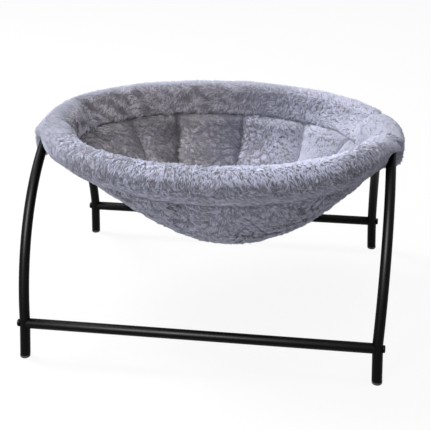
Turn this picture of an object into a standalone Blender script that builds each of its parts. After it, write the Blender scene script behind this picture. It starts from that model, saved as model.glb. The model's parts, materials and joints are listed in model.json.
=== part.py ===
"""Elevated cat bed: a padded oval plush bowl hung on two crossing tube hoops.

Metres, +Z up. The origin is on the floor, midway between the four feet. -Y is the front.
The front legs run up and back into the rear half of the rim, the rear legs run up and forward
into the front half, and the two hoops pass side by side inside the two side lobes.
"""
from math import acos, asin, cos, hypot, pi, radians, sin, sqrt

import bmesh
import bpy
from mathutils import Matrix, Vector

# Gap kept between pieces that touch
piece_gap = 0.0003

# Stand: the tube and how the four feet are set
tube_diameter = 0.012
tube_wall = 0.0012
foot_spacing_x = 0.408
foot_spacing_y = 0.336
foot_inset_x = 0.0026
foot_inset_y = 0.0026
crossbar_height = 0.044

# Legs: one long bend from the crossbar to the rim
leg_bend_radius = 0.2283
leg_lean = radians(10.9)
leg_past_crossing = 0.036

# Rim: the half ovals that the two hoops make, measured on the tube's centre
rear_rim_half_width = 0.2085
rear_rim_half_depth = 0.16
front_rim_half_depth = 0.156

# Reduced ends of the rim tubes, pushed into the tops of the legs
coupling_length = 0.026
coupling_wall = 0.001
coupling_taper = 0.0015

# Foot plugs
foot_rim_height = 0.0034
foot_edge_radius = 0.0016
foot_stem_length = 0.012

# Crossbar screws and the threaded inserts in the crossbar ends
crossbar_screw_diameter = 0.005
crossbar_screw_head_diameter = 0.0088
crossbar_screw_head_height = 0.0024
crossbar_screw_length = 0.026
screw_clearance = 0.0003
insert_length = 0.014

# Coupling screws
coupling_screw_diameter = 0.0035
coupling_screw_head_diameter = 0.0064
coupling_screw_head_height = 0.0016
coupling_screw_length = 0.0055

# Bolts and nuts where the hoops cross
crossing_bolt_diameter = 0.005
crossing_bolt_head_diameter = 0.0092
crossing_bolt_head_height = 0.0022
crossing_nut_width = 0.008
crossing_nut_height = 0.0034
crossing_bolt_spare = 0.0006

# Rim sleeves: plush and padding around the tube, closed by a seam below it
sleeve_half_width = 0.0140
sleeve_end_half_width = 0.0125
sleeve_top_pad = 0.0146
sleeve_low_pad = 0.018
sleeve_drop = 0.026
lobe_half_width = 0.0216
lobe_top_pad = 0.0158
lobe_low_pad = 0.025
lobe_front_reach = 0.018
lobe_rear_reach = 0.056
tunnel_clearance = 0.0006
seam_gap = 0.0008
crossing_ease = 0.02

# Bowl: three nested shells hung from the seam, which lies inside the outer hoop's half oval
seam_front_inset = 0.0075
seam_rear_inset = 0.0275
seam_depth_inset = 0.008
bowl_floor_height = 0.111
bowl_shift = 0.022
outer_fabric = 0.0027
wadding_thickness = 0.0060
lining_thickness = 0.0050
channel_crown = 0.009
channel_count = 12
channel_phase = radians(24)

# Shape of the bowl's wall: exponents of its profile across the width and across the depth
width_profile = 1.0
depth_profile = 2.2

# Shares of the wall, from the seam down, at which a channel is fully swollen and where it ends
channel_rise_share = 0.15
channel_end_share = 0.97

# Facets
tube_sides = 12
leg_bend_steps = 9
rim_steps = 20
bowl_segments = 48
sleeve_steps = 18
lobe_steps = 5
sleeve_turns = (-50, -22, 5, 32, 62, 90, 118, 148, 175, 202, 230)
bowl_ring_shares = (0.0, 0.1, 0.28, 0.48, 0.68, 0.86, 0.97)

# Worked out from the sizes above
tube_radius = tube_diameter / 2
bore_radius = tube_radius - tube_wall
front_rim_half_width = rear_rim_half_width - tube_diameter - piece_gap
mean_half_width = (rear_rim_half_width + front_rim_half_width) / 2
mean_half_depth = (rear_rim_half_depth + front_rim_half_depth) / 2
seam_front_half_width = rear_rim_half_width - seam_front_inset
seam_rear_half_width = rear_rim_half_width - seam_rear_inset
seam_half_depth = rear_rim_half_depth - seam_depth_inset
joint_x = foot_spacing_x / 2 - foot_inset_x
joint_y = foot_spacing_y / 2 - foot_inset_y
bowl_wall = outer_fabric + wadding_thickness + lining_thickness + 2 * piece_gap


def clear_scene():
    for item in list(bpy.data.objects):
        bpy.data.objects.remove(item, do_unlink=True)


def material(name, colour, roughness, metallic):
    made = bpy.data.materials.new(name)
    made.use_nodes = True
    shader = made.node_tree.nodes["Principled BSDF"]
    shader.inputs["Base Color"].default_value = (*colour, 1)
    shader.inputs["Roughness"].default_value = roughness
    shader.inputs["Metallic"].default_value = metallic
    return made


def add_object(name, mesh_builder, look):
    """Closes the builder's mesh into a named object with its outside facing out."""
    bmesh.ops.recalc_face_normals(mesh_builder, faces=mesh_builder.faces)
    mesh = bpy.data.meshes.new(name)
    mesh_builder.to_mesh(mesh)
    mesh_builder.free()
    mesh.materials.append(look)
    mesh.shade_smooth()
    mesh.set_sharp_from_angle(angle=radians(40))
    item = bpy.data.objects.new(name, mesh)
    bpy.context.scene.collection.objects.link(item)
    return item


def cut(item, cutter):
    """Subtracts a guide body from the item, and hides the guide."""
    knife = item.modifiers.new("cut", "BOOLEAN")
    knife.operation = "DIFFERENCE"
    knife.solver = "EXACT"
    knife.object = cutter
    cutter.hide_render = True
    cutter.display_type = "WIRE"


def inner_fit(hole_radius):
    """Largest corner radius of a faceted piece that sits in a faceted hole."""
    return hole_radius * cos(pi / tube_sides) - piece_gap


# Turned pieces


def turned(name, profile, axis, seat, look, hollow=False, sides=tube_sides):
    """Turns a profile of (radius, height) about the axis; height zero lies on the seat."""
    frame = Matrix.Translation(seat) @ Vector(axis).to_track_quat("Z", "Y").to_matrix().to_4x4()
    shape = bmesh.new()
    rings = []
    for radius, height in profile:
        ring = []
        for step in range(sides):
            turn = 2 * pi * (step + 0.5) / sides
            point = Vector((radius * cos(turn), radius * sin(turn), height))
            ring.append(shape.verts.new(frame @ point))
        rings.append(ring)
    pairs = list(zip(rings, rings[1:]))
    if hollow:
        pairs.append((rings[-1], rings[0]))
    for low, high in pairs:
        for step in range(sides):
            after = (step + 1) % sides
            shape.faces.new((low[step], low[after], high[after], high[step]))
    if not hollow:
        shape.faces.new(rings[0])
        shape.faces.new(rings[-1])
    return add_object(name, shape, look)


def screw(name, shank_radius, length, head_radius, head_height, axis, seat, look):
    """A domed screw whose head sits on the seat, with its shank running against the axis."""
    dome_shares = ((1.0, 0.0), (1.0, 0.35), (0.8, 0.78), (0.42, 1.0))
    profile = [(shank_radius, -length), (shank_radius, 0)]
    profile += [(head_radius * wide, head_height * high) for wide, high in dome_shares]
    return turned(name, profile, axis, seat, look)


# Tubes


def swept(name, stations, look, hollow=True):
    """Sweeps rings along stations of (centre, outer radius, inner radius)."""
    centres = [station[0] for station in stations]
    shape = bmesh.new()
    side_axis = None
    skins = ([], [])
    for place, (centre, outer, inner) in enumerate(stations):
        ahead = centres[min(place + 1, len(centres) - 1)] - centres[max(place - 1, 0)]
        ahead.normalize()
        if side_axis is None:
            side_axis = ahead.orthogonal()
        side_axis = (side_axis - ahead * side_axis.dot(ahead)).normalized()
        up_axis = ahead.cross(side_axis)
        for skin, radius in zip(skins, (outer, inner)):
            ring = []
            for step in range(tube_sides):
                turn = 2 * pi * step / tube_sides
                spoke = side_axis * cos(turn) + up_axis * sin(turn)
                ring.append(shape.verts.new(centre + spoke * radius))
            skin.append(ring)
            if not hollow:
                break
    for skin in skins:
        for low, high in zip(skin, skin[1:]):
            for step in range(tube_sides):
                after = (step + 1) % tube_sides
                shape.faces.new((low[step], low[after], high[after], high[step]))
    for end in (0, -1):
        if hollow:
            for step in range(tube_sides):
                after = (step + 1) % tube_sides
                outer_ring, inner_ring = skins[0][end], skins[1][end]
                shape.faces.new((outer_ring[step], outer_ring[after], inner_ring[after], inner_ring[step]))
        else:
            shape.faces.new(skins[0][end])
    return add_object(name, shape, look)


def tube_height(past):
    """Height of a hoop's centre line at a distance past the crossing, towards the half rim."""
    rise = cos(leg_lean) - (past + joint_y) / leg_bend_radius
    turn = acos(max(rise, 0))
    return crossbar_height + leg_bend_radius * (sin(turn) - sin(leg_lean))


crossing_height = tube_height(0)


class Hoop:
    """One hoop: two legs and a half rim. facing is 1 for the front legs, -1 for the rear legs."""

    def __init__(self, facing, half_width, half_depth):
        self.facing = facing
        self.half_width = half_width
        self.half_depth = half_depth

    def point(self, side, x, past, z):
        return Vector((side * x, self.facing * past, z))

    def foot(self, side, height):
        share = height / crossbar_height
        x = foot_spacing_x / 2 - foot_inset_x * share
        return self.point(side, x, -foot_spacing_y / 2 + foot_inset_y * share, height)

    def bend(self, side, turn):
        """A point of the leg's bend, where turn is the angle from upright."""
        past = leg_bend_radius * (cos(leg_lean) - cos(turn)) - joint_y
        z = crossbar_height + leg_bend_radius * (sin(turn) - sin(leg_lean))
        share = (z - crossbar_height) / (crossing_height - crossbar_height)
        return self.point(side, joint_x + (self.half_width - joint_x) * share, past, z)

    def rim(self, angle):
        """A point of the half rim; angle runs from 0 at the right crossing to pi at the left one."""
        past = self.half_depth * sin(angle)
        return self.point(1, self.half_width * cos(angle), past, tube_height(past))

    def rim_angle(self, side, past):
        angle = asin(past / self.half_depth)
        return angle if side > 0 else pi - angle


front_hoop = Hoop(1, rear_rim_half_width, rear_rim_half_depth)
rear_hoop = Hoop(-1, front_rim_half_width, front_rim_half_depth)
hoops = {"front": front_hoop, "rear": rear_hoop}
sides = {"left": -1, "right": 1}


def leg_centres(hoop, side, start_height):
    """Centres from the foot to the end of the leg, past the crossing."""
    centres = [hoop.foot(side, start_height), hoop.foot(side, crossbar_height)]
    crossing_turn = acos(cos(leg_lean) - joint_y / leg_bend_radius)
    for step in range(1, leg_bend_steps + 1):
        share = step / leg_bend_steps
        centres.append(hoop.bend(side, leg_lean + (crossing_turn - leg_lean) * share))
    after_shares = (1 / 3, 2 / 3, 1)
    for share in after_shares:
        centres.append(hoop.rim(hoop.rim_angle(side, leg_past_crossing * share)))
    return centres


def leg(name, hoop, side, look):
    centres = leg_centres(hoop, side, foot_rim_height + piece_gap)
    return swept(name, [(centre, tube_radius, bore_radius) for centre in centres], look)


def rim_tube(name, hoop, look):
    """The half oval between the two legs, with reduced ends."""
    plug_radius = inner_fit(bore_radius)
    plug_bore = plug_radius - coupling_wall
    reaches = (
        (leg_past_crossing - coupling_length, plug_radius, plug_bore),
        (leg_past_crossing - coupling_length / 2, plug_radius, plug_bore),
        (leg_past_crossing + piece_gap, plug_radius, plug_bore),
        (leg_past_crossing + piece_gap + coupling_taper, tube_radius, bore_radius),
    )
    start = hoop.rim_angle(1, reaches[-1][0])
    finish = hoop.rim_angle(-1, reaches[-1][0])
    stations = [(hoop.rim(hoop.rim_angle(1, past)), outer, inner) for past, outer, inner in reaches]
    for step in range(1, rim_steps):
        angle = start + (finish - start) * step / rim_steps
        stations.append((hoop.rim(angle), tube_radius, bore_radius))
    stations += [(hoop.rim(hoop.rim_angle(-1, past)), outer, inner) for past, outer, inner in reversed(reaches)]
    return swept(name, stations, look)


def foot_plug(name, hoop, side, look):
    """A plug with a level sole and a rounded edge, pressed square into the foot of a leg."""
    sole = hoop.foot(side, 0)
    axis = (hoop.foot(side, crossbar_height) - sole).normalized()
    level, square = Vector((0, 0, 1)), axis
    stem_radius = inner_fit(bore_radius)
    sole_radius = tube_radius - foot_edge_radius
    edge_low_share, edge_high_share = 0.3, 0.75
    rings = (
        (sole_radius, 0, level),
        (sole_radius + foot_edge_radius * edge_high_share, foot_edge_radius * edge_low_share, level),
        (tube_radius, foot_edge_radius, level),
        (tube_radius, foot_rim_height, square),
        (stem_radius, foot_rim_height, square),
        (stem_radius, foot_rim_height + foot_stem_length, square),
    )
    shape = bmesh.new()
    loops = []
    for radius, height, normal in rings:
        centre = sole + axis * (height / axis.z)
        across = Vector((0, 1, 0)).cross(normal).normalized() * radius
        along = normal.cross(across)
        turns = [2 * pi * step / tube_sides for step in range(tube_sides)]
        loops.append([shape.verts.new(centre + across * cos(turn) + along * sin(turn)) for turn in turns])
    for low, high in zip(loops, loops[1:]):
        for step in range(tube_sides):
            after = (step + 1) % tube_sides
            shape.faces.new((low[step], low[after], high[after], high[step]))
    shape.faces.new(loops[0])
    shape.faces.new(loops[-1])
    return add_object(name, shape, look)


def crossbar(name, hoop, look):
    """A straight tube between the inner sides of two legs."""
    reach = joint_x - tube_radius - 2 * piece_gap
    ends = [hoop.point(side, reach, -joint_y, crossbar_height) for side in (-1, 1)]
    return swept(name, [(end, tube_radius, bore_radius) for end in ends], look)


# Fasteners


def crossbar_fasteners(end_name, side_name, leg_item, zinc, black):
    hoop, side = hoops[end_name], sides[side_name]
    outward = Vector((side, 0, 0))
    joint = hoop.point(side, joint_x, -joint_y, crossbar_height)
    shank = crossbar_screw_diameter / 2
    seat = joint + outward * (tube_radius + piece_gap)
    screw(f"{end_name}_{side_name}_crossbar_screw", shank, crossbar_screw_length,
          crossbar_screw_head_diameter / 2, crossbar_screw_head_height, outward, seat, black)
    hole = turned(f"{end_name}_{side_name}_crossbar_hole", drill_profile(shank), outward, joint, black)
    cut(leg_item, hole)
    insert_hole = (shank + screw_clearance) / cos(pi / tube_sides)
    insert_face = joint - outward * (tube_radius + 2 * piece_gap)
    ring = ((insert_hole, 0), (inner_fit(bore_radius), 0),
            (inner_fit(bore_radius), -insert_length), (insert_hole, -insert_length))
    turned(f"{end_name}_{side_name}_threaded_insert", ring, outward, insert_face, zinc, hollow=True)


def drill_profile(shank_radius):
    """A drill that goes right through a tube, with room for a shank."""
    hole_radius = (shank_radius + screw_clearance) / cos(pi / tube_sides)
    return ((hole_radius, -tube_diameter), (hole_radius, tube_diameter))


def coupling_place(hoop, side):
    return hoop.rim(hoop.rim_angle(side, leg_past_crossing - coupling_length / 2))


# The tube climbs under the coupling screw's head, so the head sits a little lower
coupling_climb = tube_height(leg_past_crossing) - tube_height(leg_past_crossing - coupling_length)
coupling_slack = coupling_screw_head_diameter / 2 * coupling_climb / coupling_length


def coupling_screw(end_name, side_name, leg_item, rim_item, zinc):
    """A short screw from below, through the leg and the rim tube's reduced end."""
    place = coupling_place(hoops[end_name], sides[side_name])
    down = Vector((0, 0, -1))
    shank = coupling_screw_diameter / 2
    seat = place + down * (tube_radius + piece_gap + coupling_slack)
    screw(f"{end_name}_{side_name}_coupling_screw", shank, coupling_screw_length,
          coupling_screw_head_diameter / 2, coupling_screw_head_height, down, seat, zinc)
    hole_radius = (shank + screw_clearance) / cos(pi / tube_sides)
    drill = ((hole_radius, 0), (hole_radius, tube_diameter))
    hole = turned(f"{end_name}_{side_name}_coupling_hole", drill, down, place, zinc)
    cut(leg_item, hole)
    cut(rim_item, hole)


def crossing_axis_x():
    """Where the crossing bolt's head and nut sit, measured across the bed."""
    head_seat = rear_rim_half_width + tube_radius + piece_gap
    nut_seat = front_rim_half_width - tube_radius - piece_gap
    return head_seat, nut_seat


def crossing_fasteners(side_name, leg_items, zinc):
    side = sides[side_name]
    outward = Vector((side, 0, 0))
    head_seat, nut_seat = crossing_axis_x()
    shank = crossing_bolt_diameter / 2
    length = head_seat - nut_seat + crossing_nut_height + crossing_bolt_spare
    seat = Vector((side * head_seat, 0, crossing_height))
    screw(f"{side_name}_crossing_bolt", shank, length, crossing_bolt_head_diameter / 2,
          crossing_bolt_head_height, outward, seat, zinc)
    for item, hoop in leg_items:
        place = Vector((side * hoop.half_width, 0, crossing_height))
        cut(item, turned(f"{item.name}_crossing_hole", drill_profile(shank), outward, place, zinc))
    nut_radius = crossing_nut_width / 2 / cos(pi / 6)
    nut_hole = (shank + screw_clearance) / cos(pi / 6)
    ring = ((nut_hole, 0), (nut_radius, 0), (nut_radius, -crossing_nut_height), (nut_hole, -crossing_nut_height))
    nut_place = Vector((side * nut_seat, 0, crossing_height))
    turned(f"{side_name}_crossing_nut", ring, outward, nut_place, zinc, hollow=True, sides=6)


# Soft parts: everything follows one oval, halfway between the two hoops


def oval(angle):
    """A point of the oval in plan, and the direction that points out of the bed there."""
    place = Vector((mean_half_width * cos(angle), mean_half_depth * sin(angle), 0))
    out = Vector((cos(angle) / mean_half_width, sin(angle) / mean_half_depth, 0)).normalized()
    return place, out


def oval_angle(side, y):
    angle = asin(y / mean_half_depth)
    return angle if side > 0 else pi - angle


def soft_height(angle):
    """Height of the padding's centre line, which dips gently where the hoops cross."""
    return tube_height(hypot(mean_half_depth * sin(angle), crossing_ease))


def seam(angle):
    """The seam below the rim, where the sleeve closes and the bowl hangs."""
    place, out = oval(angle)
    forward_share = (1 - sin(angle)) / 2
    half_width = seam_rear_half_width + (seam_front_half_width - seam_rear_half_width) * forward_share
    own = Vector((half_width * cos(angle), seam_half_depth * sin(angle), 0))
    place = place + out * (own - place).dot(out)
    place.z = soft_height(angle) - sleeve_drop
    return place, out


def sleeve_ring(angle, hoop, half_width, pads):
    """Section of a sleeve: round over the tube, and drawn in to the seam below it."""
    place, out = oval(angle)
    if hoop:
        own = Vector((hoop.half_width * cos(angle), hoop.half_depth * sin(angle), 0))
        place = place + out * (own - place).dot(out)
    place.z = soft_height(angle)
    low, _ = seam(angle)
    ring = [low + out * (bowl_wall / 2)]
    top_pad, low_pad = pads
    for turn in (radians(degrees) for degrees in sleeve_turns):
        rise = sin(turn) * (top_pad if 0 < turn < pi else low_pad)
        ring.append(place + out * (half_width * cos(turn)) + Vector((0, 0, rise)))
    ring.append(low - out * (bowl_wall / 2))
    return ring


def sleeve(name, hoop, start, finish, steps, half_widths, pads, look):
    """A padded tunnel from one angle of the oval to another; half_widths are at its ends and middle."""
    end_width, middle_width = half_widths
    shape = bmesh.new()
    rings = []
    for step in range(steps + 1):
        share = step / steps
        spread = sqrt(max(sin(pi * share), 0))
        width = end_width + (middle_width - end_width) * spread
        points = sleeve_ring(start + (finish - start) * share, hoop, width, pads)
        rings.append([shape.verts.new(point) for point in points])
    for low, high in zip(rings, rings[1:]):
        for step in range(len(low)):
            after = (step + 1) % len(low)
            shape.faces.new((low[step], low[after], high[after], high[step]))
    shape.faces.new(rings[0])
    shape.faces.new(rings[-1])
    return add_object(name, shape, look)


def sleeve_spans():
    """The angles between which each soft rim piece lies, a gap apart."""
    half_gap = piece_gap / mean_half_depth
    right_front, right_rear = oval_angle(1, -lobe_front_reach), oval_angle(1, lobe_rear_reach)
    left_front, left_rear = oval_angle(-1, -lobe_front_reach), oval_angle(-1, lobe_rear_reach)
    return {
        "right_side_lobe": (right_front + half_gap, right_rear - half_gap),
        "rear_rim_sleeve": (right_rear + half_gap, left_rear - half_gap),
        "left_side_lobe": (left_rear + half_gap, left_front - half_gap),
        "front_rim_sleeve": (left_front + half_gap, 2 * pi + right_front - half_gap),
    }


def tunnel(hoop, name, look):
    """The room that a whole hoop takes, from one foot to the other."""
    radius = (tube_radius + tunnel_clearance) / cos(pi / tube_sides)
    centres = leg_centres(hoop, 1, 0)
    start = hoop.rim_angle(1, leg_past_crossing)
    for step in range(1, rim_steps):
        centres.append(hoop.rim(start + (pi - 2 * start) * step / rim_steps))
    centres += reversed(leg_centres(hoop, -1, 0))
    return swept(name, [(centre, radius, radius) for centre in centres], look, hollow=False)


def pockets(end_name, side_name, look):
    """Room in the padding for a coupling screw's head."""
    place = coupling_place(hoops[end_name], sides[side_name])
    radius = coupling_screw_head_diameter / 2 + tunnel_clearance
    depth = tube_radius + coupling_slack + coupling_screw_head_height + 2 * tunnel_clearance
    profile = ((radius, 0), (radius, depth))
    return turned(f"{end_name}_{side_name}_screw_pocket", profile, Vector((0, 0, -1)), place, look)


def crossing_pocket(side_name, look):
    """Room in a lobe for the crossing bolt's head and nut."""
    head_seat, nut_seat = crossing_axis_x()
    radius = crossing_bolt_head_diameter / 2 + 2 * tunnel_clearance
    far = head_seat + crossing_bolt_head_height + tunnel_clearance
    near = nut_seat - crossing_nut_height - crossing_bolt_spare - tunnel_clearance
    profile = ((radius, near), (radius, far))
    outward = Vector((sides[side_name], 0, 0))
    return turned(f"{side_name}_crossing_pocket", profile, outward, Vector((0, 0, crossing_height)), look)


def bowl_point(angle, share, inside):
    """A point of the bowl's wall: share 0 is the seam and 1 the floor, inside is the depth in the wall."""
    top, out = seam(angle)
    top = top + out * (bowl_wall / 2 - inside)
    floor = bowl_floor_height + inside
    wide = sqrt(max(1 - share ** width_profile, 0))
    deep = sqrt(max(1 - share ** depth_profile, 0))
    x = top.x * wide + bowl_shift * (1 - (1 - share) ** 2)
    z = top.z - seam_gap - (top.z - seam_gap - floor) * share
    return Vector((x, top.y * deep, z))


def crown(angle, share):
    """How far a sewn channel of the lining swells at this place."""
    across = (angle - channel_phase) * channel_count / 2
    along = min(share / channel_rise_share, 1) * max(1 - (share / channel_end_share) ** 4, 0)
    return channel_crown * sqrt(abs(sin(across))) * along


def shell(name, outer_depth, inner_depth, look, padded=False):
    """A shell of the bowl between two depths in its wall."""
    shape = bmesh.new()
    skins = []
    for depth, swells in ((outer_depth, False), (inner_depth, padded)):
        rings = []
        for share in bowl_ring_shares:
            ring = []
            for step in range(bowl_segments):
                angle = channel_phase + 2 * pi * step / bowl_segments
                extra = crown(angle, share) if swells else 0
                ring.append(shape.verts.new(bowl_point(angle, share, depth + extra)))
            rings.append(ring)
        pole = shape.verts.new(bowl_point(0, 1, depth))
        for high, low in zip(rings, rings[1:]):
            for step in range(bowl_segments):
                after = (step + 1) % bowl_segments
                shape.faces.new((high[step], high[after], low[after], low[step]))
        for step in range(bowl_segments):
            shape.faces.new((rings[-1][step], rings[-1][(step + 1) % bowl_segments], pole))
        skins.append(rings[0])
    for step in range(bowl_segments):
        after = (step + 1) % bowl_segments
        shape.faces.new((skins[0][step], skins[0][after], skins[1][after], skins[1][step]))
    return add_object(name, shape, look)


# Assembly


def build_frame():
    black = material("black powder coat", (0.012, 0.012, 0.013), 0.34, 0.0)
    rubber = material("black foot plug", (0.015, 0.015, 0.015), 0.6, 0.0)
    zinc = material("zinc plate", (0.55, 0.55, 0.56), 0.35, 1.0)
    legs = {}
    for end_name, hoop in hoops.items():
        rim_name = "rear_rim_tube" if end_name == "front" else "front_rim_tube"
        rim_item = rim_tube(rim_name, hoop, black)
        crossbar(f"{end_name}_crossbar", hoop, black)
        for side_name, side in sides.items():
            item = leg(f"{end_name}_{side_name}_leg", hoop, side, black)
            legs[end_name, side_name] = item
            foot_plug(f"{end_name}_{side_name}_foot_plug", hoop, side, rubber)
            crossbar_fasteners(end_name, side_name, item, zinc, black)
            coupling_screw(end_name, side_name, item, rim_item, zinc)
    for side_name in sides:
        pair = [(legs[end_name, side_name], hoop) for end_name, hoop in hoops.items()]
        crossing_fasteners(side_name, pair, zinc)


def build_soft_parts():
    plush = material("grey plush", (0.50, 0.50, 0.58), 0.95, 0.0)
    felt = material("white wadding", (0.80, 0.80, 0.78), 0.95, 0.0)
    spans = sleeve_spans()
    tunnels = {name: tunnel(hoop, f"{name}_hoop_tunnel", plush) for name, hoop in hoops.items()}
    screw_pockets = [pockets(end_name, side_name, plush) for end_name in hoops for side_name in sides]
    sleeve_size = (sleeve_steps, (sleeve_end_half_width, sleeve_half_width), (sleeve_top_pad, sleeve_low_pad))
    lobe_size = (lobe_steps, (lobe_half_width, lobe_half_width), (lobe_top_pad, lobe_low_pad))
    rim_pieces = {
        "front_rim_sleeve": (rear_hoop, *sleeve_size),
        "rear_rim_sleeve": (front_hoop, *sleeve_size),
        "left_side_lobe": (None, *lobe_size),
        "right_side_lobe": (None, *lobe_size),
    }
    for name, (hoop, steps, widths, pads) in rim_pieces.items():
        item = sleeve(name, hoop, *spans[name], steps, widths, pads, plush)
        for knife in (*tunnels.values(), *screw_pockets):
            cut(item, knife)
        side_name = name.split("_")[0]
        if side_name in sides:
            cut(item, crossing_pocket(side_name, plush))
    wadding_depth = outer_fabric + piece_gap
    lining_depth = wadding_depth + wadding_thickness + piece_gap
    shell("outer_bowl", 0, outer_fabric, plush)
    shell("bowl_wadding", wadding_depth, wadding_depth + wadding_thickness, felt)
    shell("inner_lining", lining_depth, bowl_wall, plush, padded=True)


clear_scene()
build_frame()
build_soft_parts()
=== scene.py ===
# Elevated cat bed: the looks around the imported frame. Metres, +Z up, -Y is the front.
import json
from math import cos, pi, radians, sin

import bpy
import numpy as np
from mathutils import Matrix, Vector
from mathutils.kdtree import KDTree


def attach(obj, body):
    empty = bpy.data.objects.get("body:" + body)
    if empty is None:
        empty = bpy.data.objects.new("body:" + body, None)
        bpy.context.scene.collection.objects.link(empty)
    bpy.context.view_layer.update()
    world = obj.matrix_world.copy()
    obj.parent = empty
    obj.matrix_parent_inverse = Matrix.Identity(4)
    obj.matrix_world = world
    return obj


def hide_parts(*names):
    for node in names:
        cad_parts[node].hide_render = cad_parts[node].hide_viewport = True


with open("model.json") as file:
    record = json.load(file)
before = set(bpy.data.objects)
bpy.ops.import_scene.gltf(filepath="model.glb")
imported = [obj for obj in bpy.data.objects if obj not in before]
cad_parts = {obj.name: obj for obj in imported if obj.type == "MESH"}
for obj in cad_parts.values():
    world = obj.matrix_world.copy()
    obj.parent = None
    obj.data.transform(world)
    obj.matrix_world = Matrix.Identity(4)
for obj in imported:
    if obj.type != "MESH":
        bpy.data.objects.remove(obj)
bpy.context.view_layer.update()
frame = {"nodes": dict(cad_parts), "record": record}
print("frame loaded:", len(frame["nodes"]), "nodes")


# Small helpers

weldDistance = 0.00001


def setMode(mode):
    bpy.ops.object.mode_set(mode=mode)


def selectNothing():
    if bpy.context.object and bpy.context.object.mode != "OBJECT":
        setMode("OBJECT")
    bpy.ops.object.select_all(action="DESELECT")


def activate(piece):
    selectNothing()
    piece.select_set(True)
    bpy.context.view_layer.objects.active = piece


def weld(closed):
    # merges the active piece's doubles; a closed one is capped, and its faces look outwards
    setMode("EDIT")
    bpy.ops.mesh.select_all(action="SELECT")
    bpy.ops.mesh.remove_doubles(threshold=weldDistance)
    if closed:
        bpy.ops.mesh.fill_holes(sides=0)
        bpy.ops.mesh.normals_make_consistent(inside=False)
    setMode("OBJECT")


def settle(piece):
    activate(piece)
    bpy.ops.object.transform_apply(location=True, rotation=True, scale=True)


def smoothBy(piece, angle):
    activate(piece)
    bpy.ops.object.shade_smooth_by_angle(angle=angle)


def applyModifiers(piece):
    bpy.context.view_layer.objects.active = piece
    for modifier in list(piece.modifiers):
        bpy.ops.object.modifier_apply(modifier=modifier.name)


def aimAt(thing, target):
    thing.rotation_mode = "QUATERNION"
    thing.rotation_quaternion = (Vector(target) - thing.location).to_track_quat("-Z", "Y")


def readAll(items, field, width=3, kind=float):
    # one field of every item, a row for each
    values = np.empty(len(items) * width, kind)
    items.foreach_get(field, values)
    return values.reshape(-1, width)


def unit(vectors):
    return vectors / np.maximum(np.linalg.norm(vectors, axis=-1, keepdims=True), 1e-9)


def between(first, last, share):
    return first + (last - first) * share


def ease(share):
    share = np.clip(share, 0, 1)
    return share * share * (3 - 2 * share)


def fade(value, edge):
    # an edge is where a change starts, and over what distance it comes in
    return ease((value - edge[0]) / edge[1])


def bulge(share):
    return np.sqrt(1 - (1 - np.clip(share, 0, 1)) ** 2)


# Camera and studio

studio = {
    "camera": (0.1384, -1.0501, 0.6142),
    "target": (-0.0350, 0.2488, 0.0),
    "roll": radians(0.03),
    "lens": 77.88,
    "sensor": 36.0,
    "floorSides": 96,
    "floorRadius": 9.0,
    "floorDrop": 0.0002,
    "floorColours": ((0.42, 0.42, 0.43), (0.9, 0.9, 0.9)),   # for bounced light, and as seen
    "floorRoughness": 0.9,
    "floorGlow": 0.90,
    "worldStrength": 0.30,
    "lampTarget": (0, 0, 0.15),
    "lamps": (
        # name, place, width, height, watts, whether it only shows in reflections
        ("keyLamp", (-1.25, 0.40, 1.65), 0.7, 0.7, 38.0, False),
        ("topLamp", (0.35, -0.15, 2.10), 0.7, 0.7, 9.0, False),
        ("fillLamp", (-0.85, -1.90, 0.65), 0.3, 1.2, 11.0, False),
        ("glintLamp", (-0.50, -1.20, 1.75), 0.6, 0.9, 265.0, True),
    ),
}


def makeCamera():
    selectNothing()
    bpy.ops.object.camera_add(location=studio["camera"])
    camera = bpy.context.object
    camera.name = "photoCamera"
    aimAt(camera, studio["target"])
    roll = Matrix.Rotation(studio["roll"], 3, "Z").to_quaternion()
    camera.rotation_quaternion = camera.rotation_quaternion @ roll
    camera.data.sensor_width = studio["sensor"]
    camera.data.lens = studio["lens"]
    bpy.context.scene.camera = camera


# Materials: a wire is a socket that takes part in sums

class Wire:
    def __init__(self, tree, socket):
        self.tree = tree
        self.socket = socket

    def maths(self, operation, *values):
        node = self.tree.nodes.new("ShaderNodeMath")
        node.operation = operation
        for entry, value in zip(node.inputs, values):
            if isinstance(value, Wire):
                self.tree.links.new(value.socket, entry)
            else:
                entry.default_value = value
        return Wire(self.tree, node.outputs[0])

    def __add__(self, other):
        return self.maths("ADD", self, other)

    def __radd__(self, other):
        return self.maths("ADD", other, self)

    def __mul__(self, other):
        return self.maths("MULTIPLY", self, other)

    def __pow__(self, other):
        return self.maths("POWER", self, other)


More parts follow.
